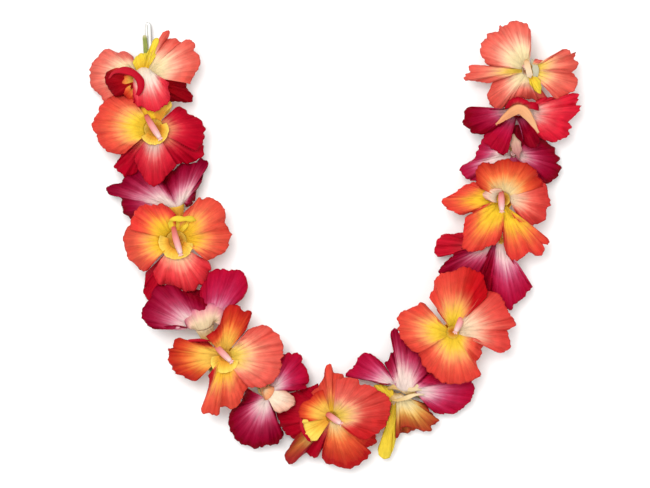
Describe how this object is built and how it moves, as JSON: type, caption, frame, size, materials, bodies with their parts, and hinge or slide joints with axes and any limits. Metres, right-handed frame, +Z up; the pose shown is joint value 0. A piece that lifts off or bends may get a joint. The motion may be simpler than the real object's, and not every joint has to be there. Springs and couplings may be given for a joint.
{
  "type": "flower lei",
  "caption": "Fresh flower lei laid out in an open U: large ruffled blooms in coral, magenta and wine threaded on a white cord.",
  "frame": {"origin": "middle of the lei's bounding box, on the surface that it lies on", "axes": "+Z up, square to the surface; +Y toward the open end of the U, where both strands end; +X across the U, to the right of someone who looks down on it with the open end away from them"},
  "size_m": [0.4169, 0.3826, 0.0391],
  "materials": {
    "floret_coral": "soft fresh petal, satin",
    "floret_scarlet": "soft fresh petal, satin",
    "floret_orange": "soft fresh petal, satin",
    "floret_magenta": "soft fresh petal, satin",
    "floret_wine": "soft fresh petal, satin",
    "floret_yellow": "soft fresh petal, satin",
    "style_pink": "moist, satin",
    "stalk_green": "fresh green stalk, matte",
    "cord_white": "smooth white cord"
  },
  "bodies": {
    "root": {"floret_01": "floret_coral", "floret_02": "floret_coral", "floret_03": "floret_magenta", "floret_04": "floret_coral", "floret_05": "floret_magenta", "floret_06": "floret_orange", "floret_07": "floret_magenta", "floret_08": "floret_scarlet", "floret_09": "floret_yellow", "floret_10": "floret_magenta", "floret_11": "floret_coral", "floret_12": "floret_wine", "floret_13": "floret_orange", "floret_14": "floret_magenta", "floret_15": "floret_wine", "floret_16": "floret_coral", "style_01": "style_pink", "style_02": "style_pink", "style_03": "style_pink", "style_04": "style_pink", "style_05": "style_pink", "style_06": "style_pink", "style_07": "style_pink", "style_08": "style_pink", "style_09": "style_pink", "style_10": "style_pink", "style_11": "style_pink", "style_12": "style_pink", "style_13": "style_pink", "style_14": "style_pink", "style_15": "style_pink", "style_16": "style_pink", "stalk_01": "stalk_green", "stalk_02": "stalk_green", "stalk_03": "stalk_green", "stalk_04": "stalk_green", "stalk_05": "stalk_green", "stalk_06": "stalk_green", "stalk_07": "stalk_green", "stalk_08": "stalk_green", "stalk_09": "stalk_green", "stalk_10": "stalk_green", "stalk_11": "stalk_green", "stalk_12": "stalk_green", "stalk_13": "stalk_green", "stalk_14": "stalk_green", "stalk_15": "stalk_green", "stalk_16": "stalk_green", "string": "cord_white"}
  },
  "joints": []
}
